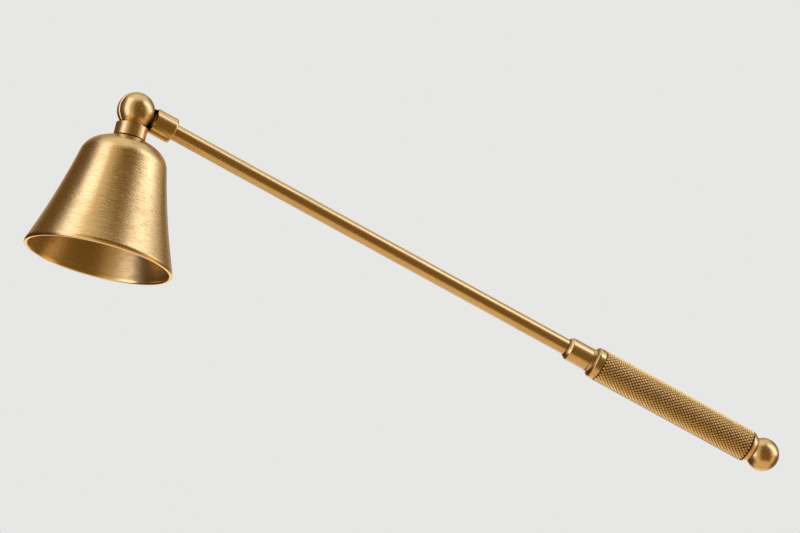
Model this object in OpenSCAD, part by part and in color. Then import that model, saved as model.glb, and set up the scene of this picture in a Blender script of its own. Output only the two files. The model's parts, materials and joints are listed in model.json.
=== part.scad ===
// Candle snuffer: a turned bell on a slotted ball knuckle, a slim rod and a knurled handle.
// Millimetres. The bell stands mouth down on z = 0 with its axis on Z, the origin is the centre of
// the mouth, and the rod slopes down towards +X until the finial touches z = 0.
// The bell swings on the pivot screw, whose axis is parallel to Y.

/* [Bell] */
// Radius of the mouth, outside
mouth_r = 20; // [17:0.5:26]
// Height of the flat seat on the crown, above the mouth
bell_h = 33.6; // [29:0.2:42]
// Thickness of the bell's wall
bell_wall = 1; // [0.8:0.1:1.8]
// Radius of the shallow dome round the seat
dome_r = 20; // [14:1:30]
// Slope of the dome where it leaves the seat, in degrees
seat_slope = 17; // [8:1:24]
// Slope at which the dome turns into the shoulder, in degrees
dome_slope = 30; // [26:1:40]
// Radius of the round shoulder
shoulder_r = 6.5; // [4:0.5:8]
// Degrees by which the flank leans further out between its middle and the mouth, to flare
flank_bow = 4; // [0.5:0.5:6]
// Radius of the rounding on the lip's two edges
lip_round = 0.35; // [0.1:0.05:0.4]

/* [Knuckle] */
// Radius of the slotted ball
ball_r = 5.05; // [4.6:0.05:6]
// Height of the ball's lowest point above the crown's seat
ball_rise = 2.75; // [2.4:0.05:4]
// Radius of the collar under the ball
collar_r = 4.3; // [3.8:0.1:4.6]
// Height of the collar
collar_h = 3.9; // [3.2:0.1:4.4]
// Bevel on the collar's edges
collar_edge = 0.3; // [0.1:0.05:0.5]
// Width of the slot in the ball
slot_w = 3; // [2.6:0.1:3.6]
// Bevel on the slot's edges
slot_edge = 0.3; // [0.1:0.05:0.5]
// Gap between the tongue's rim and the floor of the slot
slot_floor_gap = 0.3; // [0.2:0.05:0.5]
// Thickness of the tongue
tongue_w = 2.12; // [1.6:0.02:2.3]
// Bevel on the tongue's edges
tongue_edge = 0.2; // [0.05:0.05:0.4]
// Height of the neck that joins the tongue to the ferrule
tongue_neck_h = 5.6; // [4:0.2:6]
// Radius of the friction washers beside the tongue
washer_r = 2.6; // [2:0.1:3.2]
// Gap on each face of a friction washer
washer_gap = 0.04; // [0.02:0.01:0.06]
// Gap between the collar and the ferrule when the bell is at its stop
stop_gap = 0.02; // [0.02:0.01:0.3]

/* [Screws] */
// Radius of the pivot screw's shank
pivot_r = 1; // [0.8:0.05:1.3]
// Radius of the pivot screw's head
pivot_head_r = 1.95; // [1.7:0.05:2.3]
// Distance from the ball's centre to the seat of that head
pivot_head_seat = 3.2; // [2.8:0.1:3.6]
// Metal left beyond the pivot screw's blind end
pivot_end_wall = 1; // [0.7:0.1:1.6]
// Radial gap of the tongue on the pivot screw
running_gap = 0.05; // [0.02:0.01:0.09]
// Radial gap of a piece that is screwed or pushed on for good
fixed_gap = 0.02; // [0.01:0.01:0.05]
// Width of the driver slots
driver_slot = 0.6; // [0.4:0.05:0.8]
// Depth of the driver slots
driver_depth = 0.8; // [0.5:0.1:1]
// Gap beyond the tip of a screw or spigot in its hole
end_gap = 0.1; // [0.05:0.05:0.3]
// Radius of the screw that holds the bell
bell_screw_r = 1.5; // [1.2:0.1:1.8]
// Radius of that screw's head
bell_screw_head_r = 2.7; // [2.2:0.1:3]
// Height of that screw's head
bell_screw_head_h = 1.6; // [1.2:0.1:2.2]
// Length of that screw inside the collar
bell_screw_grip = 1.8; // [1.2:0.1:1.9]
// Radius of the washer under that head
bell_washer_r = 3.4; // [3.1:0.1:3.8]
// Thickness of that washer
bell_washer_t = 0.5; // [0.3:0.1:0.8]

/* [Rod] */
// Radius of the rod
rod_r = 2.19; // [1.9:0.01:2.6]
// Distance from the pivot to the front of the handle's sleeve
rod_reach = 133; // [80:1:180]
// Radius of the ferrule
ferrule_r = 3.5; // [3.2:0.05:3.8]
// Length of the ferrule
ferrule_len = 6.3; // [5.6:0.1:10]
// Bevel on the ferrule's front edge
ferrule_edge = 0.35; // [0.3:0.05:0.5]
// Rounding of the ferrule's rear edge
ferrule_round = 0.5; // [0.2:0.05:0.8]
// Gap between the ball and the ferrule's hollowed front
cope_gap = 0.35; // [0.3:0.05:0.6]
// Depth of the rod's seat in the ferrule and in the sleeve
rod_seat = 1; // [0.6:0.1:1.6]
// Radius of the threaded spigots at the rod's two ends
spigot_r = 1.5; // [1.2:0.05:1.7]
// Length of the front spigot
spigot_len = 3.2; // [2.4:0.1:3.4]

/* [Handle] */
// Radius of the rod's tail, which carries the handle's pieces
tail_r = 1.9; // [1.75:0.01:2]
// Radius of the sleeve
sleeve_r = 3.15; // [2.9:0.05:3.6]
// Length of the sleeve
sleeve_len = 7.2; // [5:0.1:12]
// Length of the bevel on the sleeve's front
sleeve_bevel = 1; // [0.4:0.1:1.6]
// Width of the flat on the sleeve's front, round the rod
sleeve_face = 0.16; // [0.1:0.02:0.4]
// Radius of the front ring
front_ring_r = 4.25; // [4:0.05:4.35]
// Length of the front ring
front_ring_len = 3.2; // [2.6:0.1:5]
// Length of the front ring's cone
front_ring_cone = 1.1; // [0.6:0.1:1.4]
// Radius of the rounding above that cone
front_ring_round = 0.8; // [0.3:0.1:0.9]
// Radius over the knurled grip
grip_r = 4.35; // [4.2:0.05:5.2]
// Length of the grip
grip_len = 47.1; // [30:0.1:60]
// Number of knurled grooves of each hand round the grip
knurl_starts = 26; // [16:1:28]
// Length of one diamond of the knurl, along the grip
knurl_pitch = 1.19; // [1.15:0.01:1.6]
// Depth of the knurl's grooves
knurl_depth = 0.32; // [0.15:0.01:0.4]
// Length of the rear ring
rear_ring_len = 1.6; // [1.2:0.1:3]
// Radius of the rear ring where it meets the finial
rear_ring_end_r = 3.5; // [3.3:0.05:3.9]
// Radius of the finial's neck
neck_r = 3.2; // [2.8:0.05:3.3]
// Length of the finial's neck
neck_len = 0.15; // [0.1:0.05:1]
// Radius of the finial
finial_r = 4.56; // [4.2:0.02:5.6]
// Length of the threaded end inside the finial
finial_thread = 4.4; // [3:0.1:5.5]

/* [Hidden] */
$fn = 96;

// Bell outline. A point on it is named by the slope of its tangent, in degrees from horizontal.
seat_r = collar_r + 0.15;
dome_c = [seat_r - dome_r * sin(seat_slope), bell_h - dome_r * cos(seat_slope)];
shoulder_c = dome_c + (dome_r - shoulder_r) * [sin(dome_slope), cos(dome_slope)];
lip_edge = [mouth_r, lip_round];
flank_slope = flank_top_slope(75, 6);
flank_top = shoulder_point(flank_slope, 0);
flank_r = norm(flank_top - lip_edge) / (2 * sin(flank_bow));
flank_c = flank_top + flank_r * [sin(flank_slope), cos(flank_slope)];
mouth_slope = flank_slope - 2 * flank_bow;
// Height of the flat inside of the crown
crown_z = bell_h - bell_wall * cos(seat_slope);

// Knuckle
pivot_z = bell_h + ball_rise + ball_r;
cheek = slot_w / 2;
cheek_r = sqrt(ball_r * ball_r - cheek * cheek);
slot_r = ball_r + slot_floor_gap;
cope_r = ball_r + cope_gap;
washer_t = (slot_w - tongue_w) / 2 - 2 * washer_gap;
// How far the pivot screw's head lies below the ball's surface
head_sunk = 0.1;
// Bevel on the tip of a screw or spigot
tip_edge = 0.3;
// How far a cutter runs past the face that it opens
over = 1;

// Distances along the rod, from the pivot
sleeve_end = rod_reach + sleeve_len;
front_ring_end = sleeve_end + front_ring_len;
grip_end = front_ring_end + grip_len;
rear_ring_end = grip_end + rear_ring_len;
finial_s = rear_ring_end + neck_len + sqrt(finial_r * finial_r - neck_r * neck_r);
rod_slope = asin((pivot_z - finial_r) / finial_s);
// The ferrule starts where its lower edge just clears the collar
ferrule_start = (collar_r + stop_gap + (ferrule_r - ferrule_edge) * sin(rod_slope)) / cos(rod_slope);
ferrule_end = ferrule_start + ferrule_len;
front_seat = ferrule_end - rod_seat;

// Half diamonds of the knurl along the grip, and round it
knurl_rows = 2 * round(grip_len / knurl_pitch);
knurl_columns = 2 * knurl_starts;

brass = [0.72, 0.55, 0.30];
dark_brass = [0.55, 0.40, 0.20];
steel = [0.62, 0.62, 0.64];
nylon = [0.12, 0.11, 0.10];

// The slope at which a flank that bows by flank_bow runs from the shoulder to the lip
function flank_top_slope(a, tries) =
    let (d = lip_edge - shoulder_point(a, 0))
    tries == 0 ? a : flank_top_slope(atan2(-d.y, d.x) + flank_bow, tries - 1);
function steps(a, b, n) = [for (i = [0 : n]) a + (b - a) * i / n];
// Points on the three arcs, "inset" inside the outer face
function dome_point(a, inset) = dome_c + (dome_r - inset) * [sin(a), cos(a)];
function shoulder_point(a, inset) = shoulder_c + (shoulder_r - inset) * [sin(a), cos(a)];
function flank_point(a, inset) = flank_c - (flank_r + inset) * [sin(a), cos(a)];
function bell_side(inset) = concat(
    [for (a = steps(seat_slope, dome_slope, 5)) dome_point(a, inset)],
    [for (a = steps(dome_slope, flank_slope, 9)) if (a > dome_slope) shoulder_point(a, inset)],
    [for (a = steps(flank_slope, mouth_slope, 12)) if (a < flank_slope) flank_point(a, inset)]);
function reverse(list) = [for (i = [len(list) - 1 : -1 : 0]) list[i]];
// Points of a round corner about c, from angle a to angle b
function corner(c, r, a, b, n = 5) = [for (t = steps(a, b, n)) c + r * [cos(t), sin(t)]];

// A revolve about Z of an outline in [radius, height]
module turned(outline) {
    rotate_extrude() polygon(outline);
}
// The same about the pivot's axis, +Y, centred on the ball
module about_pivot() {
    translate([0, 0, pivot_z]) rotate([-90, 0, 0]) children();
}
// The rod's own frame: the pivot at the origin and +Z along the rod
module along_rod() {
    translate([0, 0, pivot_z]) rotate([0, 90 + rod_slope, 0]) children();
}
// A straight cylinder between two heights, for shanks and the holes that they go in
module plug(r, from, to) {
    translate([0, 0, from]) cylinder(r = r, h = to - from);
}

module bell() {
    inside = [for (p = bell_side(bell_wall)) if (p.y > lip_round) p];
    low = inside[len(inside) - 1];
    lip_in = low.x + (low.y - lip_round) / tan(mouth_slope);
    color(brass) difference() {
        turned(concat(
            [[0, bell_h]],
            bell_side(0),
            corner([mouth_r - lip_round, lip_round], lip_round, 0, -90),
            corner([lip_in + lip_round, lip_round], lip_round, -90, -180),
            reverse(inside),
            [[0, crown_z]]));
        plug(bell_screw_r + running_gap, crown_z - over, bell_h + over);
    }
}

module bell_washer() {
    color(steel) difference() {
        plug(bell_washer_r, crown_z - bell_washer_t, crown_z);
        plug(bell_screw_r + running_gap, crown_z - bell_washer_t - over, crown_z + over);
    }
}

module bell_screw() {
    head_top = crown_z - bell_washer_t;
    head_face = head_top - bell_screw_head_h;
    head_round = bell_screw_head_h / 2;
    tip = bell_h + bell_screw_grip;
    color(steel) difference() {
        turned(concat(
            [[0, head_face]],
            corner([bell_screw_head_r - head_round, head_face + head_round], head_round, -90, 0),
            [[bell_screw_head_r, head_top], [bell_screw_r, head_top],
             [bell_screw_r, tip - tip_edge], [bell_screw_r - tip_edge, tip], [0, tip]]));
        translate([-bell_screw_head_r - over, -driver_slot / 2, head_face - over])
            cube([2 * (bell_screw_head_r + over), driver_slot, over + driver_depth]);
    }
}

// Collar and ball are one piece, slotted for the tongue
module knuckle_collar() {
    collar_top = bell_h + collar_h;
    bevel_start = cheek_r - slot_edge;
    bevel_top = cheek + slot_r - bevel_start;
    color(brass) difference() {
        union() {
            turned([[0, bell_h], [collar_r - collar_edge, bell_h], [collar_r, bell_h + collar_edge],
                    [collar_r, collar_top - collar_edge], [collar_r - collar_edge, collar_top],
                    [0, collar_top]]);
            about_pivot() sphere(r = ball_r);
        }
        // The slot, with bevelled edges where its cheeks meet the ball
        about_pivot() turned([[0, -cheek], [bevel_start, -cheek], [slot_r, -bevel_top],
                              [slot_r, bevel_top], [bevel_start, cheek], [0, cheek]]);
        // Blind threaded hole in one cheek, clear hole and head seat in the other
        about_pivot() plug(pivot_r + fixed_gap, pivot_end_wall - ball_r, 0);
        about_pivot() plug(pivot_r + running_gap, 0, ball_r);
        about_pivot() plug(pivot_head_r + running_gap, pivot_head_seat, ball_r + over);
        // Threaded hole for the screw that holds the bell
        plug(bell_screw_r + fixed_gap, bell_h - over, bell_h + bell_screw_grip + end_gap);
    }
}

// The head follows the ball's surface
module pivot_screw() {
    head_r = ball_r - head_sunk;
    color(steel) about_pivot() difference() {
        union() {
            plug(pivot_r, pivot_end_wall - ball_r + end_gap, head_r - driver_depth);
            intersection() {
                plug(pivot_head_r, pivot_head_seat, ball_r);
                sphere(r = head_r);
            }
        }
        translate([-ball_r, -driver_slot / 2, head_r - driver_depth])
            cube([2 * ball_r, driver_slot, driver_depth + over]);
    }
}

module friction_washers() {
    color(nylon) for (side = [-1, 1]) about_pivot() difference() {
        translate([0, 0, side * (tongue_w + slot_w) / 4]) cylinder(r = washer_r, h = washer_t, center = true);
        plug(pivot_r + running_gap, -slot_w, slot_w);
    }
}

// Barrel with a hollowed front, and the tongue that turns in the slot
module rod_ferrule() {
    half = tongue_w / 2;
    side_r = sqrt(ball_r * ball_r - half * half) - tongue_edge;
    rim_a = asin((half - tongue_edge) / ball_r);
    color(brass) difference() {
        union() {
            along_rod() difference() {
                turned(concat(
                    [[0, ferrule_start], [ferrule_r - ferrule_edge, ferrule_start],
                     [ferrule_r, ferrule_start + ferrule_edge]],
                    corner([ferrule_r - ferrule_round, ferrule_end - ferrule_round], ferrule_round, 0, 90),
                    [[0, ferrule_end]]));
                rotate([90, 0, 0]) cylinder(r = cope_r, h = 4 * ferrule_r, center = true);
            }
            along_rod() translate([-tongue_neck_h / 2, -half, 0])
                cube([tongue_neck_h, tongue_w, cope_r + over]);
            about_pivot() turned(concat(
                [[0, -half], [side_r, -half]], corner([0, 0], ball_r, -rim_a, rim_a),
                [[side_r, half], [0, half]]));
        }
        about_pivot() plug(pivot_r + running_gap, -tongue_w, tongue_w);
        along_rod() plug(rod_r + fixed_gap, front_seat, ferrule_end + over);
        along_rod() plug(spigot_r + fixed_gap, front_seat - spigot_len - end_gap, ferrule_end);
    }
}

// One turned rod: a spigot in the ferrule, the bare length, and a tail right through the handle
module rod() {
    front_tip = front_seat - spigot_len;
    shoulder = rod_reach + rod_seat;
    rear_tip = rear_ring_end + finial_thread;
    color(brass) along_rod() turned([
        [0, front_tip], [spigot_r - tip_edge, front_tip], [spigot_r, front_tip + tip_edge],
        [spigot_r, front_seat], [rod_r, front_seat], [rod_r, shoulder], [tail_r, shoulder],
        [tail_r, rear_ring_end], [spigot_r, rear_ring_end],
        [spigot_r, rear_tip - tip_edge], [spigot_r - tip_edge, rear_tip], [0, rear_tip]]);
}

module handle_sleeve() {
    color(brass) along_rod() difference() {
        turned([[0, rod_reach], [rod_r + sleeve_face, rod_reach], [sleeve_r, rod_reach + sleeve_bevel],
                [sleeve_r, sleeve_end], [0, sleeve_end]]);
        plug(rod_r + fixed_gap, rod_reach - over, rod_reach + rod_seat);
        plug(tail_r + fixed_gap, rod_reach, sleeve_end + over);
    }
}

module front_ring() {
    // Radius at the top of the cone, where the rounding takes over
    cone_r = front_ring_r - front_ring_round / 3;
    cone_end = sleeve_end + front_ring_cone;
    color(brass) along_rod() difference() {
        turned([[0, sleeve_end], [sleeve_r, sleeve_end], [cone_r, cone_end],
                [front_ring_r, cone_end + front_ring_round],
                [front_ring_r, front_ring_end], [0, front_ring_end]]);
        plug(tail_r + fixed_gap, sleeve_end - over, front_ring_end + over);
    }
}

// A grid of points, by turns the tip of a diamond and a crossing of two grooves. Each cell of the grid
// is creased along the groove that crosses it. The two end rows lie at the grooves' depth.
module knurl() {
    row_h = grip_len / knurl_rows;
    function is_tip(i, row) = (i + row) % 2 == 1 && row > 0 && row < knurl_rows;
    function place(i, row) = row * knurl_columns + i % knurl_columns;
    polyhedron(
        points = [for (row = [0 : knurl_rows]) for (i = [0 : knurl_columns - 1])
            let (r = is_tip(i, row) ? grip_r : grip_r - knurl_depth, a = 360 * i / knurl_columns)
            [r * cos(a), r * sin(a), front_ring_end + row * row_h]],
        faces = concat(
            [[for (i = [0 : knurl_columns - 1]) place(i, 0)]],
            [[for (i = [knurl_columns - 1 : -1 : 0]) place(i, knurl_rows)]],
            [for (row = [0 : knurl_rows - 1]) for (i = [0 : knurl_columns - 1])
                let (a = place(i, row), b = place(i + 1, row),
                     c = place(i + 1, row + 1), d = place(i, row + 1))
                each (i + row) % 2 == 0 ? [[a, d, c], [a, c, b]] : [[a, d, b], [b, d, c]]]));
}

module grip() {
    color(dark_brass) along_rod() difference() {
        knurl();
        plug(tail_r + fixed_gap, front_ring_end - over, grip_end + over);
    }
}

module rear_ring() {
    color(brass) along_rod() difference() {
        turned([[0, grip_end], [front_ring_r, grip_end], [rear_ring_end_r, rear_ring_end], [0, rear_ring_end]]);
        plug(tail_r + fixed_gap, grip_end - over, rear_ring_end + over);
    }
}

module finial() {
    color(brass) along_rod() difference() {
        union() {
            plug(neck_r, rear_ring_end, finial_s);
            translate([0, 0, finial_s]) sphere(r = finial_r);
        }
        plug(finial_r, rear_ring_end - finial_r, rear_ring_end);
        plug(spigot_r + fixed_gap, rear_ring_end - over, rear_ring_end + finial_thread + end_gap);
    }
}

bell();
bell_washer();
bell_screw();
knuckle_collar();
pivot_screw();
friction_washers();
rod_ferrule();
rod();
handle_sleeve();
front_ring();
grip();
rear_ring();
finial();
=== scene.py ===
"""Candle snuffer: a brushed brass bell on a slotted ball knuckle, a slim rod and a knurled handle.

The scene is in metres. Outlines are written in millimetres, and polar() turns them into metres.
"""
import json
import math
import bmesh
import bpy
from mathutils import Matrix, Vector


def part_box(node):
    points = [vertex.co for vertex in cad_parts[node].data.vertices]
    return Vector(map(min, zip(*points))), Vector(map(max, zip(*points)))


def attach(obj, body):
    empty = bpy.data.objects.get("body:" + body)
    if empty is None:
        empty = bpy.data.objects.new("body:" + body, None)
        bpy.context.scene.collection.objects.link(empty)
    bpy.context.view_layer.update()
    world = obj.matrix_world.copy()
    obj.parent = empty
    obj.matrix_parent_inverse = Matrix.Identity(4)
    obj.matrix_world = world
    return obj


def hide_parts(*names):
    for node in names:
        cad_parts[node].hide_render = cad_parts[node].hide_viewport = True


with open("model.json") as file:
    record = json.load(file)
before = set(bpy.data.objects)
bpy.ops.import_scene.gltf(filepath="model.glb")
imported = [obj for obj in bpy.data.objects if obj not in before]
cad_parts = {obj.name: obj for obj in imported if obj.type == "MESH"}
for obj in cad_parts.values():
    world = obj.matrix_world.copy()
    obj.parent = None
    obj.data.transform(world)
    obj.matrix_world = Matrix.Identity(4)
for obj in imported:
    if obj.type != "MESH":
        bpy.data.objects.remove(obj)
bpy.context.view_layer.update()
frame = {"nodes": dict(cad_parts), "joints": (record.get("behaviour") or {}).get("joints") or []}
NODES = frame["nodes"]
MM = 0.001

# ---------------------------------------------------------------- places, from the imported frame

bell_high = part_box("bell")[1]
MOUTH_R = bell_high.y / MM
BELL_H = bell_high.z / MM
PIVOT = Vector(frame["joints"][0]["pos_m"])
BALL_R = (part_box("knuckle_collar")[1].z - PIVOT.z) / MM
finial_low, finial_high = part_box("finial")
FINIAL_R = (finial_high.y - finial_low.y) / 2
FINIAL_CENTRE = Vector((finial_high.x - FINIAL_R, 0, finial_low.z + FINIAL_R))
ROD_DIR = (FINIAL_CENTRE - PIVOT).normalized()
# Frames with Z along a turning axis. The rod's and the pivot screw's start on the pivot, and the bell's is
# the part's own.
ROD_FRAME = Matrix.Translation(PIVOT) @ Matrix.Rotation(math.atan2(ROD_DIR.x, ROD_DIR.z), 4, "Y")
PIVOT_FRAME = Matrix.Translation(PIVOT) @ Matrix.Rotation(math.radians(-90), 4, "X")
BELL_FRAME = Matrix.Identity(4)


def span(node):
    """Start, end, least and greatest radius of a node along the rod, in millimetres."""
    along, out = [], []
    for v in NODES[node].data.vertices:
        p = v.co - PIVOT
        s = p.dot(ROD_DIR)
        along.append(s / MM)
        out.append((p - ROD_DIR * s).length / MM)
    return min(along), max(along), min(out), max(out)


# ---------------------------------------------------------------- outlines and turned meshes

HOLD = 0.05          # mm from a rounded corner to the ring of points that keeps the face beside it flat
SIDE_SHARE = 0.45    # the most of a side that the rounding of one corner takes
SHADE_SPREAD = 0.3   # mm over which the painted shade beside an inward corner thins out
ON_AXIS = 1e-6       # mm from the axis, under which a point is one point and not a ring
LATHE_STEPS = 192    # points round a turned piece
BELL_STEPS = 256     # points round the bell


def polar(r, angle, s):
    """A point in metres, from a radius, an angle and a place along the axis."""
    return (r * MM * math.cos(angle), r * MM * math.sin(angle), s * MM)


def arc(centre, radius, start, end, steps):
    """Points on an arc; angles in degrees, 0 along the radius and 90 along the axis."""
    angles = [math.radians(start + (end - start) * i / steps) for i in range(steps + 1)]
    return [(centre[0] + radius * math.cos(a), centre[1] + radius * math.sin(a)) for a in angles]


def rounded(corners, steps=4):
    """An outline from (radius, place, rounding, shade and wear) corners, each turned into points with their
    shade and wear.

    That value runs from -1, painted shade in an inward corner, to 1, an edge that is worn and lightened as a
    painted highlight.
    """
    points = [(Vector(c[:2]), c[2] if len(c) > 2 else 0, c[3] if len(c) > 3 else None) for c in corners]
    out = []
    for i, (p, r, wear) in enumerate(points):
        if i in (0, len(points) - 1) or r <= 0:
            out.append((p, wear or 0.0))
            continue
        before, after = points[i - 1][0], points[i + 1][0]
        a, b = (before - p), (after - p)
        # An outward corner is worn and lit by a painted highlight, an inward one gets painted shade
        if wear is None:
            wear = 1.0 if a.x * b.y - a.y * b.x < 0 else -1.0
        half = a.angle(b) / 2
        reach = min(r / math.tan(half), SIDE_SHARE * a.length, SIDE_SHARE * b.length)
        rooms = (a.length - reach, b.length - reach)
        a.normalize()
        b.normalize()
        # The painted shade of an inward corner also runs out onto the faces beside it
        painted_shade = min(wear, 0.0)
        beside = []
        for way, room in zip((a, b), rooms):
            near = [(p + way * (reach + HOLD), painted_shade)] if room > 3 * HOLD else []
            far = [(p + way * (reach + SHADE_SPREAD), 0.0)] if painted_shade and room > 3 * SHADE_SPREAD else []
            beside.append(near + far)
        out += reversed(beside[0])
        for k in range(steps + 1):
            t = k / steps
            out.append((p + a * reach * (1 - t) ** 2 + b * reach * t ** 2, wear))
        out += beside[1]
    return out


def turned(name, outline, place, closed=False, steps=LATHE_STEPS):
    """A revolve about the place's Z. An open outline starts and ends on the axis; a closed one is a ring."""
    mesh = bmesh.new()
    # Per point: painted shade below 0, wear with a painted highlight above 0
    wear = mesh.verts.layers.float.new("wear")
    angles = [2 * math.pi * k / steps for k in range(steps)]
    rings = []
    for p, w in outline:
        if p.x < ON_AXIS:
            ring = [mesh.verts.new((0, 0, p.y * MM))]
        else:
            ring = [mesh.verts.new(polar(p.x, angle, p.y)) for angle in angles]
        for v in ring:
            v[wear] = w
        rings.append(ring)
    pairs = list(zip(rings, rings[1:] + rings[:1] if closed else rings[1:]))
    for low, high in pairs:
        for k in range(steps):
            n = (k + 1) % steps
            if len(low) == 1 and len(high) == 1:
                break
            if len(low) == 1:
                mesh.faces.new((low[0], high[n], high[k]))
            elif len(high) == 1:
                mesh.faces.new((low[k], low[n], high[0]))
            else:
                mesh.faces.new((low[k], low[n], high[n], high[k]))
    bmesh.ops.transform(mesh, matrix=place, verts=mesh.verts)
    bmesh.ops.recalc_face_normals(mesh, faces=mesh.faces)
    return as_object(name, mesh)


def as_object(name, mesh, smooth=True):
    """A bmesh made an object at the origin."""
    data = bpy.data.meshes.new(name)
    mesh.to_mesh(data)
    mesh.free()
    for face in data.polygons:
        face.use_smooth = smooth
    piece = bpy.data.objects.new(name, data)
    bpy.context.scene.collection.objects.link(piece)
    return piece


def finish_piece(piece, material, body, node):
    """Give a piece its material and its body, and hide the CAD node that it takes the place of."""
    piece.data.materials.clear()
    piece.data.materials.append(material)
    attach(piece, body)
    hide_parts(node)


# ---------------------------------------------------------------- shader groups

def new_group(name, inputs, outputs):
    """An empty shader group with its sockets, and its two end nodes."""
    tree = bpy.data.node_groups.new(name, "ShaderNodeTree")
    for label, kind, value in inputs:
        socket = tree.interface.new_socket(name=label, in_out="INPUT", socket_type=kind)
        if value is not None:
            socket.default_value = value
    for label, kind in outputs:
        tree.interface.new_socket(name=label, in_out="OUTPUT", socket_type=kind)
    return tree, tree.nodes.new("NodeGroupInput"), tree.nodes.new("NodeGroupOutput")


def node(tree, kind, **settings):
    """A new node. Its settings are its own properties, and inputs gives the values of its sockets."""
    made = tree.nodes.new(kind)
    for key, value in settings.items():
        if key == "inputs":
            for socket, given in value.items():
                made.inputs[socket].default_value = given
        else:
            setattr(made, key, value)
    return made


def math_node(tree, operation, a, b=None, clamp=False):
    """One step of arithmetic, in a shader or in Geometry Nodes; a and b are numbers or sockets."""
    made = node(tree, "ShaderNodeMath", operation=operation, use_clamp=clamp)
    for index, value in enumerate((a, b)):
        if value is None:
            continue
        if isinstance(value, (int, float)):
            made.inputs[index].default_value = value
        else:
            tree.links.new(value, made.inputs[index])
    return made.outputs[0]


def remap(tree, value, low, high, to_low=0.0, to_high=1.0):
    """The value moved from one range to another and held within it."""
    made = node(tree, "ShaderNodeMapRange", inputs={"From Min": low, "From Max": high,
                                                    "To Min": to_low, "To Max": to_high})
    tree.links.new(value, made.inputs["Value"])
    return made.outputs["Result"]


def tool_marks_group():
    """Marks of brushing or turning. Coordinates in millimetres, Z along the turning axis.

    Lines are fine and all over, Strokes are short, sparse and darker.
    """
    tree, given, out = new_group(
        "tool_marks",
        [("Vector", "NodeSocketVector", None), ("Spacing", "NodeSocketFloat", 0.1),
         ("Stroke", "NodeSocketFloat", 5.0)],
        [("Lines", "NodeSocketFloat"), ("Strokes", "NodeSocketFloat")])
    link = tree.links.new
    split = node(tree, "ShaderNodeSeparateXYZ")
    link(given.outputs["Vector"], split.inputs[0])

    def stretched(shorter, wider, detail, low, high):
        """Noise drawn out round the axis, remapped to 0 to 1."""
        where = node(tree, "ShaderNodeCombineXYZ")
        along = math_node(tree, "MULTIPLY", given.outputs["Stroke"], shorter)
        across = math_node(tree, "MULTIPLY", given.outputs["Spacing"], wider)
        for axis in "XY":
            link(math_node(tree, "DIVIDE", split.outputs[axis], along), where.inputs[axis])
        link(math_node(tree, "DIVIDE", split.outputs["Z"], across), where.inputs["Z"])
        noise = node(tree, "ShaderNodeTexNoise", inputs={"Scale": 1.0, "Detail": detail, "Roughness": 0.6})
        link(where.outputs[0], noise.inputs["Vector"])
        return remap(tree, noise.outputs["Fac"], low, high)

    link(stretched(shorter=1.0, wider=1.0, detail=3.0, low=0.3, high=0.7), out.inputs["Lines"])
    link(stretched(shorter=0.4, wider=2.2, detail=1.0, low=0.56, high=0.72), out.inputs["Strokes"])
    return tree


def tarnish_group():
    """Slow clouds of darker, warmer metal, and a few small specks. Coordinates in millimetres."""
    tree, given, out = new_group(
        "tarnish",
        [("Vector", "NodeSocketVector", None), ("Size", "NodeSocketFloat", 14.0)],
        [("Clouds", "NodeSocketFloat"), ("Specks", "NodeSocketFloat")])
    link = tree.links.new
    scaled = node(tree, "ShaderNodeVectorMath", operation="SCALE")
    link(given.outputs["Vector"], scaled.inputs[0])
    link(math_node(tree, "DIVIDE", 1.0, given.outputs["Size"]), scaled.inputs["Scale"])
    clouds = node(tree, "ShaderNodeTexNoise",
                  inputs={"Scale": 1.0, "Detail": 4.0, "Roughness": 0.6, "Distortion": 0.4})
    link(scaled.outputs[0], clouds.inputs["Vector"])
    link(remap(tree, clouds.outputs["Fac"], 0.4, 0.7), out.inputs["Clouds"])
    specks = node(tree, "ShaderNodeTexNoise", inputs={"Scale": 1.3, "Detail": 2.0, "Roughness": 0.5})
    link(given.outputs["Vector"], specks.inputs["Vector"])
    link(remap(tree, specks.outputs["Fac"], 0.68, 0.76), out.inputs["Specks"])
    return tree


TOOL_MARKS = tool_marks_group()
TARNISH = tarnish_group()


# ---------------------------------------------------------------- materials

def piece_coordinates(tree, place):
    """Object coordinates in millimetres in a piece's own frame, with Z along its turning axis."""
    source = node(tree, "ShaderNodeTexCoord")
    mapping = node(tree, "ShaderNodeMapping", vector_type="POINT")
    inverse = place.inverted()
    mapping.inputs["Location"].default_value = inverse.to_translation() / MM
    mapping.inputs["Rotation"].default_value = inverse.to_euler()
    mapping.inputs["Scale"].default_value = (1 / MM,) * 3
    tree.links.new(source.outputs["Object"], mapping.inputs["Vector"])
    return mapping.outputs["Vector"]


def group_in(tree, group, vector, **values):
    """A shader group placed in a material, with its own values."""
    made = node(tree, "ShaderNodeGroup", node_tree=group)
    tree.links.new(vector, made.inputs["Vector"])
    for label, value in values.items():
        made.inputs[label].default_value = value
    return made


def mixed(tree, factor, a, b):
    """A colour mix; a and b are colours or sockets."""
    made = node(tree, "ShaderNodeMix", data_type="RGBA")
    tree.links.new(factor, made.inputs["Factor"])
    for label, value in (("A", a), ("B", b)):
        socket = [s for s in made.inputs if s.name == label and s.type == "RGBA"][0]
        if isinstance(value, tuple):
            socket.default_value = (*value, 1)
        else:
            tree.links.new(value, socket)
    return [s for s in made.outputs if s.type == "RGBA"][0]


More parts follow.
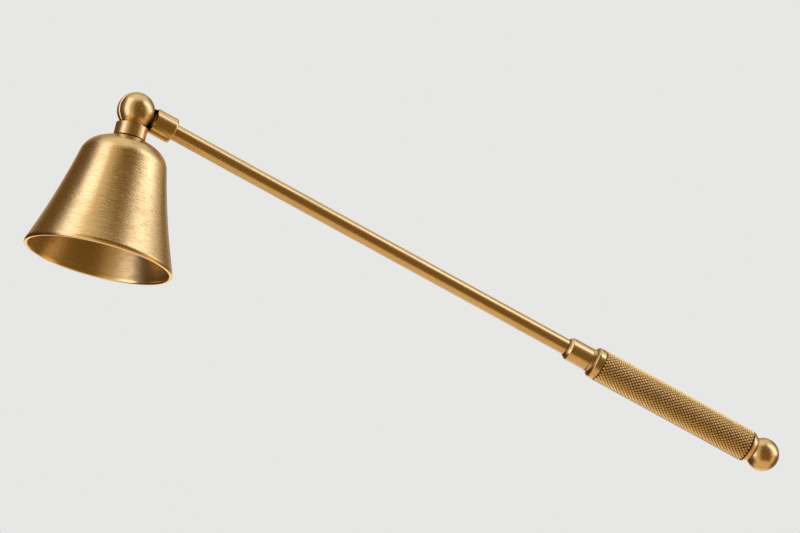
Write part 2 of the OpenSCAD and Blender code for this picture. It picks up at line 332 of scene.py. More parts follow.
BRASS = (0.82, 0.60, 0.30)
BRASS_DARK = (0.64, 0.43, 0.17)      # in the tool marks
BRASS_STAIN = (0.55, 0.36, 0.13)     # in the tarnish's clouds and specks
STEEL = (0.56, 0.55, 0.53)
STEEL_DARK = (0.4, 0.39, 0.37)
STEEL_STAIN = (0.3, 0.27, 0.22)
NYLON = (0.02, 0.019, 0.018)
NYLON_GRAIN = (0.05, 0.047, 0.043)
CORNER_SHADE = (0.08, 0.034, 0.005)         # painted shade in inward corners
# near-black painted shade in the knuckle's slot, at the collar's foot and in the ferrule's hollow front
RECESS_SHADE = (0.016, 0.008, 0.003)
GROOVE_SHADE = (0.07, 0.027, 0.004)  # painted shade at the foot of the knurl
TIP_HIGHLIGHT = (1.0, 0.77, 0.40)        # painted highlight at its tips
GROOVE_SHARE = (0.12, 0.32)          # shares of the knurl's height between which the one turns into the other

CLOUDS, SPECKS, CORNER_SHADE_SHARE = 0.35, 0.25, 0.85    # how far each one hides the metal under it; the last is the painted shade of inward corners
CLOUDS_MATT, WORN_HIGHLIGHT_MATT, CORNER_SHADE_MATT, RECESS_SHADE_MATT = 0.05, -0.06, 0.2, 0.5    # what each one adds to roughness: tarnish, a worn edge with its painted highlight, painted shade in a corner and in a recess
MARK_DEPTH = 0.02                            # mm, full depth of the tool marks


def metal(name, place, light, dark, stain, rough, spacing, stroke, marks, bump,
          coat=0.0, coat_rough=0.2, wear=0.5, recess=None):
    """Worked metal: tool marks, slow tarnish, worn edges lightened as a painted highlight, painted shade in
    inward corners, and near-black painted shade in a recess where given.

    Spacing and stroke are the width and the length of the tool marks, in millimetres.
    """
    material = bpy.data.materials.new(name)
    material.use_nodes = True
    tree = material.node_tree
    link = tree.links.new
    shader = tree.nodes["Principled BSDF"]
    shader.inputs["Metallic"].default_value = 1.0
    shader.inputs["Coat Weight"].default_value = coat
    shader.inputs["Coat Roughness"].default_value = coat_rough
    vector = piece_coordinates(tree, place)
    tool = group_in(tree, TOOL_MARKS, vector, Spacing=spacing, Stroke=stroke)
    aged = group_in(tree, TARNISH, vector)
    marked = [math_node(tree, "MULTIPLY", tool.outputs[label], marks) for label in ("Lines", "Strokes")]
    tone = math_node(tree, "ADD", *marked, clamp=True)
    colour = mixed(tree, tone, light, dark)
    for label, share in (("Clouds", CLOUDS), ("Specks", SPECKS)):
        colour = mixed(tree, math_node(tree, "MULTIPLY", aged.outputs[label], share), colour, stain)
    # Worn edges lightened further as a painted highlight, and painted shade in inward corners, both from the
    # mesh's attribute
    shade_and_wear = node(tree, "ShaderNodeAttribute", attribute_name="wear").outputs["Fac"]
    worn_highlight = math_node(tree, "MULTIPLY", shade_and_wear, wear, clamp=True)
    worn_highlight_colour = tuple(min(1, c * 1.12 + 0.02) for c in light)
    colour = mixed(tree, worn_highlight, colour, worn_highlight_colour)
    painted_shade = math_node(tree, "MULTIPLY", shade_and_wear, -CORNER_SHADE_SHARE, clamp=True)
    colour = mixed(tree, painted_shade, colour, CORNER_SHADE)
    roughness = remap(tree, tone, 0, 1, *rough)
    for mask, matt in ((aged.outputs["Clouds"], CLOUDS_MATT), (worn_highlight, WORN_HIGHLIGHT_MATT), (painted_shade, CORNER_SHADE_MATT)):
        roughness = math_node(tree, "ADD", roughness, math_node(tree, "MULTIPLY", mask, matt))
    # Near-black painted shade in a recess, with a rougher surface
    if recess is not None:
        recess_shade_mask = recess(tree, vector)
        colour = mixed(tree, recess_shade_mask, colour, RECESS_SHADE)
        recess_roughening = math_node(tree, "MULTIPLY", recess_shade_mask, RECESS_SHADE_MATT)
        roughness = math_node(tree, "ADD", roughness, recess_roughening, clamp=True)
    link(colour, shader.inputs["Base Color"])
    link(roughness, shader.inputs["Roughness"])
    relief = node(tree, "ShaderNodeBump", inputs={"Strength": bump, "Distance": MARK_DEPTH * MM})
    link(math_node(tree, "SUBTRACT", tool.outputs["Lines"], tool.outputs["Strokes"]), relief.inputs["Height"])
    link(relief.outputs["Normal"], shader.inputs["Normal"])
    return material


# Millimetres, as the solids of the knuckle have them
COLLAR_TOP = BELL_H + 3.9        # the collar stands on the bell and is 3.9 high
SLOT_HALF = 1.5                  # half the width of the ball's slot
COPE_R = BALL_R + 0.35           # the ferrule's hollowed front, round the ball
FERRULE_START = 5.0              # from the pivot to the ferrule's front edge

# Where each painted shade of a recess starts and where it is full, in millimetres
SLOT_WALL = (SLOT_HALF + 0.04, SLOT_HALF + 0.01)
SLOT_FLOOR = (COLLAR_TOP - 0.4, COLLAR_TOP)
COLLAR_SEAM = (BELL_H + 0.45, BELL_H + 0.25)
COPE_WALL = (COPE_R + 0.08, COPE_R + 0.03)
FERRULE_FRONT = (FERRULE_START + 0.12, FERRULE_START + 0.04)
TONGUE_NECK = (2.0, 2.6)


def slot_recess(tree, vector):
    """Painted shade on the slot's walls in the ball, and a line of painted shade where the collar stands on
    the bell.
    """
    split = node(tree, "ShaderNodeSeparateXYZ")
    tree.links.new(vector, split.inputs[0])
    side = math_node(tree, "ABSOLUTE", split.outputs["Y"])
    inside = remap(tree, side, *SLOT_WALL)
    above = remap(tree, split.outputs["Z"], *SLOT_FLOOR)
    foot = remap(tree, split.outputs["Z"], *COLLAR_SEAM)
    return math_node(tree, "MAXIMUM", math_node(tree, "MULTIPLY", inside, above), foot)


def cope_recess(tree, vector):
    """Painted shade on the ferrule's front, hollowed round the ball, and on its front edge, but not on the
    tongue.
    """
    split = node(tree, "ShaderNodeSeparateXYZ")
    tree.links.new(vector, split.inputs[0])
    x, z = split.outputs["X"], split.outputs["Z"]
    out = math_node(tree, "SQRT", math_node(tree, "ADD", math_node(tree, "MULTIPLY", x, x),
                                            math_node(tree, "MULTIPLY", z, z)))
    cope = remap(tree, out, *COPE_WALL)
    end = remap(tree, z, *FERRULE_FRONT)
    beyond_tongue = remap(tree, z, *TONGUE_NECK)
    return math_node(tree, "MULTIPLY", math_node(tree, "MAXIMUM", cope, end), beyond_tongue)


def brass(name, place, **finish):
    """Worked metal in the snuffer's own brass."""
    return metal(name, place, BRASS, BRASS_DARK, BRASS_STAIN, **finish)


SATIN_FINISH = {"rough": (0.26, 0.34), "spacing": 0.12, "stroke": 4, "marks": 0.3, "bump": 0.06,
                "coat": 0.1}
SCREW_FINISH = {"spacing": 0.08, "stroke": 4, "marks": 0.5, "bump": 0.2}

brushed_brass = brass("brushed_brass", BELL_FRAME, rough=(0.21, 0.33), spacing=0.14, stroke=7, marks=0.6,
                      bump=0.6, coat=0.1, coat_rough=0.25, wear=0.9)
satin_brass = brass("satin_brass", ROD_FRAME, coat_rough=0.22, **SATIN_FINISH)
knuckle_brass = brass("knuckle_brass", BELL_FRAME, recess=slot_recess, **SATIN_FINISH)
ferrule_brass = brass("ferrule_brass", ROD_FRAME, recess=cope_recess, **SATIN_FINISH)
screw_brass = brass("screw_brass", PIVOT_FRAME, rough=(0.22, 0.32), **SCREW_FINISH)
screw_steel = metal("screw_steel", BELL_FRAME, STEEL, STEEL_DARK, STEEL_STAIN, rough=(0.25, 0.38),
                    **SCREW_FINISH)


def knurled_brass_material():
    """Painted highlight on the tips and painted shade in the grooves, by the height that the grip's mesh
    keeps in its relief attribute.
    """
    material = bpy.data.materials.new("knurled_brass")
    material.use_nodes = True
    tree = material.node_tree
    link = tree.links.new
    shader = tree.nodes["Principled BSDF"]
    shader.inputs["Metallic"].default_value = 1.0
    vector = piece_coordinates(tree, ROD_FRAME)
    aged = group_in(tree, TARNISH, vector, Size=9.0)
    tool = group_in(tree, TOOL_MARKS, vector, Spacing=0.06, Stroke=0.3)
    relief = node(tree, "ShaderNodeAttribute", attribute_name="relief")
    height = remap(tree, relief.outputs["Fac"], *GROOVE_SHARE)
    # Painted shade in the grooves turning into a painted highlight on the tips
    colour = mixed(tree, height, GROOVE_SHADE, TIP_HIGHLIGHT)
    colour = mixed(tree, math_node(tree, "MULTIPLY", aged.outputs["Clouds"], 0.25), colour, BRASS_STAIN)
    link(colour, shader.inputs["Base Color"])
    roughness = remap(tree, height, 0, 1, 0.55, 0.32)
    link(math_node(tree, "ADD", roughness, math_node(tree, "MULTIPLY", tool.outputs["Lines"], 0.05)),
         shader.inputs["Roughness"])
    bump = node(tree, "ShaderNodeBump", inputs={"Strength": 0.2, "Distance": 0.01 * MM})
    link(tool.outputs["Lines"], bump.inputs["Height"])
    link(bump.outputs["Normal"], shader.inputs["Normal"])
    return material


def nylon_material():
    """Black nylon with a fine grain, for the friction washers."""
    material = bpy.data.materials.new("black_nylon")
    material.use_nodes = True
    tree = material.node_tree
    shader = tree.nodes["Principled BSDF"]
    vector = piece_coordinates(tree, BELL_FRAME)
    grain = node(tree, "ShaderNodeTexNoise", inputs={"Scale": 9.0, "Detail": 3.0})
    tree.links.new(vector, grain.inputs["Vector"])
    tree.links.new(mixed(tree, grain.outputs["Fac"], NYLON, NYLON_GRAIN), shader.inputs["Base Color"])
    tree.links.new(remap(tree, grain.outputs["Fac"], 0, 1, 0.5, 0.7), shader.inputs["Roughness"])
    return material


knurled_brass = knurled_brass_material()
black_nylon = nylon_material()

# ---------------------------------------------------------------- bell

# Sizes in millimetres, slopes in degrees down from level
SEAT_R = 4.45            # the flat seat under the collar
SCREW_HOLE_R = 1.55
BELL_WALL = 1.0
DOME_R, SHOULDER_R = 20.0, 6.5
SEAT_SLOPE, DOME_SLOPE = 17.0, 30.0
FLANK_BOW = 4.0          # the flank turns by twice this
LIP_ROUND = 0.44
DOME_STEPS, SHOULDER_STEPS, FLANK_STEPS, LIP_STEPS = 10, 24, 30, 6
INSIDE_SHADE = -0.28      # painted shade over the inside


def bell_outline():
    """Crown seat, dome, shoulder, bowed flank and lip; then back up the inside, one wall in."""
    def way(a):
        return Vector((math.sin(math.radians(a)), math.cos(math.radians(a))))

    dome_c = Vector((SEAT_R, BELL_H)) - DOME_R * way(SEAT_SLOPE)
    shoulder_c = dome_c + (DOME_R - SHOULDER_R) * way(DOME_SLOPE)
    lip = Vector((MOUTH_R, LIP_ROUND))
    # The flank's slope under the shoulder, from a first guess that each round brings nearer
    slope = 75.0
    for _ in range(6):
        d = lip - (shoulder_c + SHOULDER_R * way(slope))
        slope = math.degrees(math.atan2(-d.y, d.x)) + FLANK_BOW
    top = shoulder_c + SHOULDER_R * way(slope)
    flank_r = (top - lip).length / (2 * math.sin(math.radians(FLANK_BOW)))
    flank_c = top + flank_r * way(slope)
    mouth_slope = slope - 2 * FLANK_BOW

    def swept(centre, radius, start, end, steps):
        """Points as the slope turns from start to end, without the first, which the stretch before has."""
        return [centre + radius * way(start + (end - start) * i / steps) for i in range(1, steps + 1)]

    def side(inset):
        """The outer face moved in by an inset. The flank's centre lies outside, so its radius is negative."""
        return ([dome_c + (DOME_R - inset) * way(SEAT_SLOPE)]
                + swept(dome_c, DOME_R - inset, SEAT_SLOPE, DOME_SLOPE, DOME_STEPS)
                + swept(shoulder_c, SHOULDER_R - inset, DOME_SLOPE, slope, SHOULDER_STEPS)
                + swept(flank_c, -flank_r - inset, slope, mouth_slope, FLANK_STEPS))

    outside = side(0)
    inside = [p for p in side(BELL_WALL) if p.y > LIP_ROUND]
    low = inside[-1]
    lip_in = low.x + (low.y - LIP_ROUND) / math.tan(math.radians(mouth_slope))
    crown = BELL_H - BELL_WALL * math.cos(math.radians(SEAT_SLOPE))
    # Painted shade round the collar's foot, then plain metal, and a lip that is worn and lightened as a
    # painted highlight
    points = [(outside[0], -1.0), (outside[1], -0.6)] + [(p, 0.0) for p in outside[2:]]
    for centre_r, start in ((MOUTH_R - LIP_ROUND, 0), (lip_in + LIP_ROUND, -90)):
        quarter = arc((centre_r, LIP_ROUND), LIP_ROUND, start, start - 90, LIP_STEPS)
        points += [(Vector(p), 1.0) for p in quarter]
    # Painted shade over the whole inside
    points += [(p, INSIDE_SHADE) for p in reversed(inside)]
    hole = [(inside[0].x - HOLD, crown), (SCREW_HOLE_R + HOLD, crown), (SCREW_HOLE_R, crown),
            (SCREW_HOLE_R, crown + HOLD), (SCREW_HOLE_R, BELL_H - HOLD), (SCREW_HOLE_R, BELL_H),
            (SCREW_HOLE_R + HOLD, BELL_H)]
    points += [(Vector(p), 0.0) for p in hole]
    # Painted shade where the collar stands on the seat
    points.append((Vector((SEAT_R - HOLD, BELL_H)), -1.0))
    return points


bell_shell = turned("bell_shell", bell_outline(), BELL_FRAME, closed=True, steps=BELL_STEPS)
finish_piece(bell_shell, brushed_brass, "bell_head", "bell")

# ---------------------------------------------------------------- rod and the handle's plain pieces

rod_start, rod_end, _, rod_r = span("rod")
sleeve_start, sleeve_end, _, sleeve_r = span("handle_sleeve")
ring_start, ring_end, _, ring_r = span("front_ring")
grip_start, grip_end, _, grip_r = span("grip")
rear_start, rear_end, _, _ = span("rear_ring")
finial_start, finial_end, _, finial_r = span("finial")
finial_r -= 0.01     # the ball stays inside the facets of its solid
finial_mid = finial_end - finial_r

# Millimetres; down to the bore's depth they are as the solids have them
TAIL_R = 1.9         # the rod's thinner tail, inside the handle
SPIGOT_R = 1.5       # the rod's two threaded ends
SPIGOT_LEN = 3.2     # the one in the ferrule
TIP = 0.3            # bevel of a threaded end
FIT = 0.02           # clearance of a bore, in radius
COUNTERBORE = 1.0    # depth in the sleeve at which the tail starts
SLEEVE_BEVEL = 1.0
REAR_END_R = 3.5     # the rear ring's small end
NECK_R = 3.2         # the ball end's neck
BALL_BORE = 4.5      # depth of the ball end's threaded bore
EDGE = 0.06          # rounding of an edge that is broken by hand
SHARP = 0.03         # rounding of an edge that stays sharp
SEAM_SHADE_SPREAD = 0.35   # the painted shade of a seam starts this far before it
BALL_STEPS = 48      # points from the ball end's neck to its pole
front_seat = rod_start + SPIGOT_LEN
tail_start = sleeve_start + COUNTERBORE
tail_bore = TAIL_R + FIT
rod_bore = rod_r + FIT

# A corner's fourth number paints shade below 0, and above 0 a worn edge lightened as a painted highlight; the
# rod has painted shade where it enters the ferrule and the sleeve
rod_bar = turned("rod_bar", rounded([
    (0, rod_start), (SPIGOT_R - TIP, rod_start, EDGE), (SPIGOT_R, rod_start + TIP, EDGE),
    (SPIGOT_R, front_seat, SHARP), (rod_r, front_seat, EDGE, -1), (rod_r, rod_start + 3.6),
    (rod_r, sleeve_start - SEAM_SHADE_SPREAD), (rod_r, sleeve_start, 0, -1), (rod_r, tail_start, EDGE),
    (TAIL_R, tail_start, SHARP), (TAIL_R, rear_end, EDGE), (SPIGOT_R, rear_end, SHARP),
    (SPIGOT_R, rod_end - TIP, EDGE), (SPIGOT_R - TIP, rod_end, EDGE), (0, rod_end)]), ROD_FRAME)
finish_piece(rod_bar, satin_brass, "handle", "rod")

# Painted shade at the joint with the rod and at the seam, painted highlight on the bevel's edge
handle_collar = turned("handle_collar", rounded([
    (rod_bore, sleeve_start + 0.5), (rod_bore, sleeve_start, SHARP), (rod_r + 0.16, sleeve_start, 0.04, -1),
    (rod_r + 0.46, sleeve_start + 0.4, 0, -0.4), (sleeve_r - 0.16, sleeve_start + 0.82, 0, 0.5),
    (sleeve_r, sleeve_start + SLEEVE_BEVEL, 0.12), (sleeve_r, sleeve_end - SEAM_SHADE_SPREAD),
    (sleeve_r, sleeve_end, EDGE, -0.8), (tail_bore, sleeve_end, EDGE), (tail_bore, tail_start, SHARP),
    (rod_bore, tail_start, SHARP)]), ROD_FRAME, closed=True)
finish_piece(handle_collar, satin_brass, "handle", "handle_sleeve")

# Painted shade at the step and at the seam with the grip, painted highlight on the rounded edge
front_band = turned("front_band", rounded([
    (tail_bore, ring_start + 0.5), (tail_bore, ring_start, SHARP), (sleeve_r, ring_start, 0.05, 0),
    (sleeve_r + 0.13, ring_start + 0.5, 0, 0), (sleeve_r + 0.22, ring_start + 0.85, 0.1, -0.8),
    (ring_r - 0.12, ring_start + 1.3, 0.2, 0.3), (ring_r, ring_start + 1.8, 0.2, 0.3),
    (ring_r, ring_end - 0.3), (ring_r, ring_end, EDGE, -0.6), (tail_bore, ring_end, SHARP)]),
    ROD_FRAME, closed=True)
finish_piece(front_band, satin_brass, "handle", "front_ring")

# Painted shade at its seams with the grip and the ball end
rear_band = turned("rear_band", rounded([
    (tail_bore, rear_start + 0.5), (tail_bore, rear_start, SHARP), (ring_r, rear_start, EDGE, -0.6),
    (ring_r, rear_start + 0.3), (REAR_END_R, rear_end, EDGE, -0.5), (tail_bore, rear_end, SHARP)]),
    ROD_FRAME, closed=True)
finish_piece(rear_band, satin_brass, "handle", "rear_ring")

neck_angle = math.degrees(math.acos(NECK_R / finial_r))
bore_end = finial_start + BALL_BORE
ball_points = [(Vector(p), 0.0) for p in arc((0, finial_mid), finial_r, -neck_angle, 90, BALL_STEPS)]
# Painted shade at the ball end's neck
finial_ball = turned("finial_ball", rounded([
    (0, bore_end), (SPIGOT_R + FIT, bore_end, SHARP), (SPIGOT_R + FIT, finial_start, SHARP),
    (NECK_R, finial_start, SHARP, -1)]) + ball_points[1:-1] + [(Vector((0, finial_end)), 0.0)], ROD_FRAME)
finish_piece(finial_ball, satin_brass, "handle", "finial")


# ---------------------------------------------------------------- knurled grip

STARTS = 26          # grooves of each hand round the grip
ROWS = 79            # rows of diamonds, an odd number so that both ends close alike
KNURL_DEPTH = 0.32   # mm
WELD = 0.004         # mm within which points of neighbouring tiles are one
HALF_SECTOR = math.pi / STARTS
groove_r = grip_r - KNURL_DEPTH


def diamond_tile(row_step):
    """One diamond of the knurl, centred on +X at place 0: four corners in the grooves, and a blunt tip."""
    mesh = bmesh.new()
    # Share of the way out from the tip, and depth below the tip
    levels = [(1.0, KNURL_DEPTH), (0.94, KNURL_DEPTH - 0.012), (0.34, 0.035), (0.2, 0.008)]
    rings = []
    for share, depth in levels:
        rings.append([mesh.verts.new(polar(grip_r - depth, HALF_SECTOR * share * t, row_step * share * s))
                      for t, s in ((1, 0), (0, 1), (-1, 0), (0, -1))])
    tip = mesh.verts.new(polar(grip_r, 0, 0))
    for outer, inner in zip(rings, rings[1:]):
        for k in range(4):
            n = (k + 1) % 4
            mesh.faces.new((outer[k], outer[n], inner[n], inner[k]))
    for k in range(4):
        mesh.faces.new((rings[-1][k], rings[-1][(k + 1) % 4], tip))
    return as_object("diamond_tile", mesh, smooth=False)


def sector_tile(row_step, length):
    """What closes one sector between the rows: a flat at each end, the two end faces and the bore."""
    mesh = bmesh.new()
    sides = (-HALF_SECTOR, HALF_SECTOR)
    ends = []
    for s, inward in ((0, 1), (length, -1)):
        left, right = (mesh.verts.new(polar(groove_r, angle, s)) for angle in sides)
        apex = mesh.verts.new(polar(groove_r, 0, s + inward * row_step))
        bore_l, bore_r = (mesh.verts.new(polar(tail_bore, angle, s)) for angle in sides)
        mesh.faces.new((left, right, apex) if inward > 0 else (right, left, apex))
        mesh.faces.new((right, left, bore_l, bore_r) if inward > 0 else (left, right, bore_r, bore_l))
        ends.append((bore_l, bore_r))
    (a, b), (c, d) = ends
    mesh.faces.new((a, c, d, b))
    return as_object("sector_tile", mesh, smooth=False)


def knurl_tree(material):
    """Geometry Nodes: tiles set round and along the grip, joined into one closed skin."""
    tree = bpy.data.node_groups.new("knurl_rows", "GeometryNodeTree")
    for label, kind in (("Geometry", "Geometry"), ("Starts", "Int"), ("Rows", "Int"), ("Row Step", "Float"),
                        ("Groove Radius", "Float"), ("Depth", "Float"), ("Sector", "Object")):
        tree.interface.new_socket(name=label, in_out="INPUT", socket_type="NodeSocket" + kind)
    tree.interface.new_socket(name="Geometry", in_out="OUTPUT", socket_type="NodeSocketGeometry")
    link = tree.links.new
    given, out = tree.nodes.new("NodeGroupInput"), tree.nodes.new("NodeGroupOutput")

    def calc(operation, a, b=None):
        return math_node(tree, operation, a, b)

    def placed(count, angle, height, instance):
        """Points on the axis, each turned by its angle, carrying one tile."""
        points = node(tree, "GeometryNodePoints")
        link(count, points.inputs["Count"])
        where = node(tree, "ShaderNodeCombineXYZ")
        if height is not None:
            link(height, where.inputs["Z"])
        link(where.outputs[0], points.inputs["Position"])
        turn = node(tree, "ShaderNodeCombineXYZ")
        link(angle, turn.inputs["Z"])
        made = node(tree, "GeometryNodeInstanceOnPoints")
        link(points.outputs[0], made.inputs["Points"])
        link(instance, made.inputs["Instance"])
        rotation = node(tree, "FunctionNodeEulerToRotation")
        link(turn.outputs[0], rotation.inputs[0])
        link(rotation.outputs[0], made.inputs["Rotation"])
        return made.outputs[0]

    # Row and column of each tile from its index; every second row is turned by half a sector
    index = node(tree, "GeometryNodeInputIndex").outputs[0]
    starts = given.outputs["Starts"]
    sector_turn = calc("DIVIDE", 2 * math.pi, starts)
    row = calc("FLOOR", calc("DIVIDE", calc("ADD", index, 0.5), starts))
    column = calc("SUBTRACT", index, calc("MULTIPLY", row, starts))
    half = calc("MULTIPLY", calc("MODULO", row, 2), 0.5)
    angle = calc("MULTIPLY", calc("ADD", column, half), sector_turn)
    height = calc("MULTIPLY", calc("ADD", row, 1), given.outputs["Row Step"])
    count = calc("MULTIPLY", starts, given.outputs["Rows"])
    diamonds = placed(count, angle, height, given.outputs["Geometry"])
    sector = node(tree, "GeometryNodeObjectInfo")
    link(given.outputs["Sector"], sector.inputs["Object"])
    middle = calc("MULTIPLY", calc("ADD", index, 0.5), sector_turn)
    sectors = placed(starts, middle, None, sector.outputs["Geometry"])
    joined = node(tree, "GeometryNodeJoinGeometry")
    link(diamonds, joined.inputs[0])
    link(sectors, joined.inputs[0])
    real = node(tree, "GeometryNodeRealizeInstances")
    link(joined.outputs[0], real.inputs[0])
    merged = node(tree, "GeometryNodeMergeByDistance", inputs={"Distance": WELD * MM})
    link(real.outputs[0], merged.inputs["Geometry"])
    place = node(tree, "ShaderNodeSeparateXYZ")
    link(node(tree, "GeometryNodeInputPosition").outputs[0], place.inputs[0])
    radius = calc("SQRT", calc("ADD", calc("MULTIPLY", place.outputs["X"], place.outputs["X"]),
                               calc("MULTIPLY", place.outputs["Y"], place.outputs["Y"])))
    # Height over the grooves as a share of their depth, which the material reads
    share = calc("DIVIDE", calc("SUBTRACT", radius, given.outputs["Groove Radius"]), given.outputs["Depth"])
    keep = node(tree, "GeometryNodeStoreNamedAttribute", data_type="FLOAT", domain="POINT",
                inputs={"Name": "relief"})
    link(merged.outputs[0], keep.inputs["Geometry"])
    link(share, keep.inputs["Value"])
    painted = node(tree, "GeometryNodeSetMaterial", inputs={"Material": material})
    link(keep.outputs[0], painted.inputs["Geometry"])
    link(painted.outputs[0], out.inputs[0])
    return tree


def knurled_grip():
    """The grip as one plain mesh, from the two tiles and the tree."""
    length = grip_end - grip_start
    row_step = length / (ROWS + 1)
    tile = diamond_tile(row_step)
    sector = sector_tile(row_step, length)
    tree = knurl_tree(knurled_brass)
    modifier = tile.modifiers.new("knurl", "NODES")
    modifier.node_group = tree
    values = {"Starts": STARTS, "Rows": ROWS, "Row Step": row_step * MM, "Groove Radius": groove_r * MM,
              "Depth": KNURL_DEPTH * MM, "Sector": sector}
    for item in tree.interface.items_tree:
        if item.in_out == "INPUT" and item.name in values:
            modifier[item.identifier] = values[item.name]
    now = bpy.context.evaluated_depsgraph_get()
    knurled = tile.evaluated_get(now)
    data = bpy.data.meshes.new_from_object(knurled, preserve_all_data_layers=True, depsgraph=now)
    tile.modifiers.remove(modifier)
    for spare in (tile, sector):
        bpy.data.objects.remove(spare)
    data.name = "grip_knurl"
    data.transform(ROD_FRAME @ Matrix.Translation((0, 0, grip_start * MM)))
    piece = bpy.data.objects.new("grip_knurl", data)
    bpy.context.scene.collection.objects.link(piece)
    return piece


grip_knurl = knurled_grip()
finish_piece(grip_knurl, knurled_brass, "handle", "grip")

# ---------------------------------------------------------------- pieces kept from the frame

KEPT = {"knuckle_collar": knuckle_brass, "rod_ferrule": ferrule_brass, "pivot_screw": screw_brass,
        "bell_screw": screw_steel, "bell_washer": screw_steel, "friction_washers": black_nylon}
for name, material in KEPT.items():
    NODES[name].data.materials.clear()
    NODES[name].data.materials.append(material)

# ---------------------------------------------------------------- camera

CAMERA_AT = Vector((-0.3721, -1.4744, -0.3594))
CAMERA_FORWARD = Vector((0.2847, 0.9279, 0.2409)).normalized()
CAMERA_UP = Vector((-0.2944, -0.1545, 0.9431))
CAMERA_LENS = 270.0      # mm, as is the sensor's width
CAMERA_SENSOR = 36.0

camera_right = CAMERA_FORWARD.cross(CAMERA_UP).normalized()
camera_up = camera_right.cross(CAMERA_FORWARD)
camera_turn = Matrix((camera_right, camera_up, -CAMERA_FORWARD)).transposed()
camera_data = bpy.data.cameras.new("camera")
camera_data.lens = CAMERA_LENS
camera_data.sensor_width = CAMERA_SENSOR
camera_data.clip_start, camera_data.clip_end = 0.05, 50
camera = bpy.data.objects.new("camera", camera_data)
camera.matrix_world = Matrix.Translation(CAMERA_AT) @ camera_turn.to_4x4()
bpy.context.scene.collection.objects.link(camera)
bpy.context.scene.camera = camera

# ---------------------------------------------------------------- floor, lamps and cards

OBJECT_MIDDLE = Vector((0.09, 0, 0.02))
BACKGROUND = (0.80, 0.80, 0.79)
AMBIENT = (0.5, 0.5, 0.5)
COOL = (0.96, 0.98, 1.28)
FLOOR_R = 3.0            # metres
CARD_DISTANCE = 1.6      # metres
CARD_STEPS = 12


def studio_way(side, lift):
    """A direction from the object: degrees to the right of the camera, and degrees above it."""
    a, b = math.radians(side), math.radians(lift)
    level = -CAMERA_FORWARD * math.cos(a) + camera_right * math.sin(a)
    return (level * math.cos(b) + camera_up * math.sin(b)).normalized()


def softbox(name, low, high, width, level):
    """A soft strip lamp with its ends a metre off, from one (side, lift) to another.

    Level is how bright it looks in a mirror.
    """
    start, end = (studio_way(*place) for place in (low, high))
    middle, length = (start + end) / 2, (end - start).length
    data = bpy.data.lights.new(name, "AREA")
    data.shape = "RECTANGLE"
    data.size, data.size_y = width, length
    data.energy = level * width * length * math.pi
    data.color = COOL
    lamp = bpy.data.objects.new(name, data)
    along = (end - start).normalized()
    across = along.cross(middle).normalized()
    turn = Matrix((across, along, across.cross(along))).transposed().to_4x4()
    lamp.matrix_world = Matrix.Translation(OBJECT_MIDDLE + middle) @ turn
    bpy.context.scene.collection.objects.link(lamp)
    lamp.visible_camera = False


def card(name, sides, lifts, shade, distance=CARD_DISTANCE):
    """A curved card that only reflections see, from one side to another and one lift to another."""
    mesh = bmesh.new()

    def spread(ends):
        return [ends[0] + (ends[1] - ends[0]) * i / CARD_STEPS for i in range(CARD_STEPS + 1)]

    grid = [[mesh.verts.new(OBJECT_MIDDLE + distance * studio_way(side, lift)) for side in spread(sides)]
            for lift in spread(lifts)]
    for low, high in zip(grid, grid[1:]):
        for i in range(CARD_STEPS):
            mesh.faces.new((low[i], low[i + 1], high[i + 1], high[i]))
    piece = as_object(name, mesh, smooth=False)
    material = bpy.data.materials.new(name)
    material.use_nodes = True
    tree = material.node_tree
    tree.nodes.clear()
    glow = node(tree, "ShaderNodeEmission", inputs={"Color": (*shade, 1), "Strength": 1.0})
    out = node(tree, "ShaderNodeOutputMaterial")
    tree.links.new(glow.outputs[0], out.inputs["Surface"])
    piece.data.materials.append(material)
    piece.visible_camera = piece.visible_diffuse = piece.visible_shadow = piece.visible_transmission = False


softbox("softbox_left", (-51, -16), (-77.5, 68), 0.38, 1.14)
softbox("softbox_right", (101, -4), (75, 53), 0.30, 1.42)
card("card_top", (-180, 180), (68, 90), (1.0, 0.92, 0.80))
card("card_front", (-15, 66), (-42, 36), (0.18, 0.10, 0.02))
card("card_above", (-10, 66), (36, 66), (0.18, 0.10, 0.01))
card("card_left", (-54, -8), (-18, 70), (0.62, 0.50, 0.31), 1.65)
card("card_left_low", (-85, -15), (-50, -16), (0.80, 0.60, 0.37))
card("card_right_low", (52, 86), (-50, -6), (0.78, 0.54, 0.32))
card("card_right_back_low", (86, 125), (-50, -6), (0.14, 0.08, 0.03))
card("card_right_glow", (84, 97), (-50, -6), (1.0, 0.62, 0.26), 1.5)
card("card_back_left", (-150, -62), (8, 50), (0.14, 0.075, 0.02))
card("card_back_left_low", (-150, -62), (-50, 8), (0.06, 0.03, 0.008))
card("card_back", (-205, -150), (0, 52), (0.50, 0.40, 0.30))
card("card_back_low", (-210, -150), (-62, 0), (1.0, 0.84, 0.60))
card("card_back_right", (124, 155), (-50, 38), (0.20, 0.13, 0.07))
card("card_low", (-180, 180), (-90, -40), (0.74, 0.56, 0.37), 1.7)


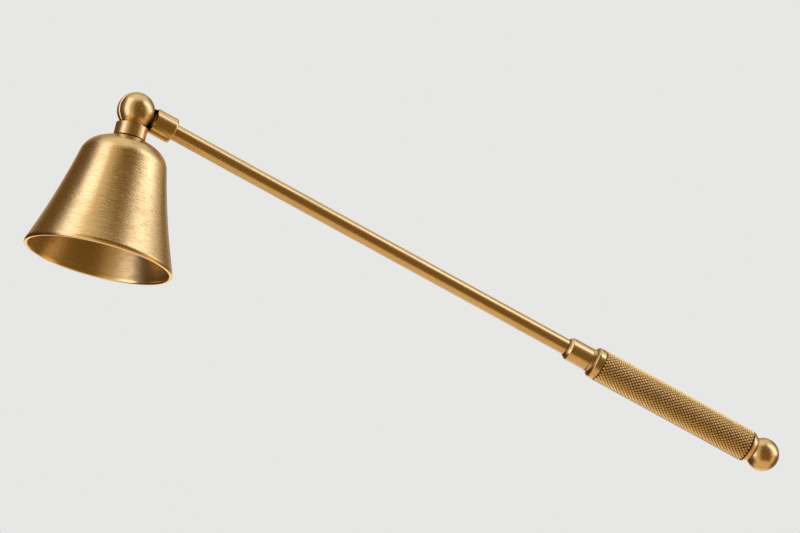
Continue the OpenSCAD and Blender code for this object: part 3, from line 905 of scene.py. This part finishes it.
def pale_floor():
    """A round floor under the mouth. From below it is clear, because the camera looks up at the bell."""
    mesh = bmesh.new()
    bmesh.ops.create_circle(mesh, cap_ends=True, segments=96, radius=FLOOR_R)
    floor = as_object("floor", mesh, smooth=False)
    material = bpy.data.materials.new("pale_floor")
    material.use_nodes = True
    tree = material.node_tree
    link = tree.links.new
    tree.nodes.clear()
    diffuse = node(tree, "ShaderNodeBsdfDiffuse", inputs={"Color": (*BACKGROUND, 1)})
    clear = node(tree, "ShaderNodeBsdfTransparent")
    side = node(tree, "ShaderNodeNewGeometry")
    mix = node(tree, "ShaderNodeMixShader")
    out = node(tree, "ShaderNodeOutputMaterial")
    link(side.outputs["Backfacing"], mix.inputs[0])
    link(diffuse.outputs[0], mix.inputs[1])
    link(clear.outputs[0], mix.inputs[2])
    link(mix.outputs[0], out.inputs["Surface"])
    floor.data.materials.append(material)
    floor.visible_diffuse = floor.visible_glossy = floor.visible_transmission = floor.visible_shadow = False


def studio_world():
    """The background's colour for the camera and for reflections, and a plain grey light for the rest."""
    world = bpy.data.worlds.new("studio")
    world.use_nodes = True
    bpy.context.scene.world = world
    tree = world.node_tree
    link = tree.links.new
    tree.nodes.clear()
    seen = node(tree, "ShaderNodeBackground", inputs={"Color": (*BACKGROUND, 1), "Strength": 1.0})
    ambient = node(tree, "ShaderNodeBackground", inputs={"Color": (*AMBIENT, 1), "Strength": 1.0})
    path = node(tree, "ShaderNodeLightPath")
    mirrored = math_node(tree, "MAXIMUM", path.outputs["Is Glossy Ray"], path.outputs["Is Transmission Ray"])
    direct = math_node(tree, "MAXIMUM", path.outputs["Is Camera Ray"], mirrored)
    mix = node(tree, "ShaderNodeMixShader")
    out = node(tree, "ShaderNodeOutputWorld")
    link(direct, mix.inputs[0])
    link(ambient.outputs[0], mix.inputs[1])
    link(seen.outputs[0], mix.inputs[2])
    link(mix.outputs[0], out.inputs["Surface"])


pale_floor()
studio_world()
bpy.context.scene.view_settings.view_transform = "Standard"
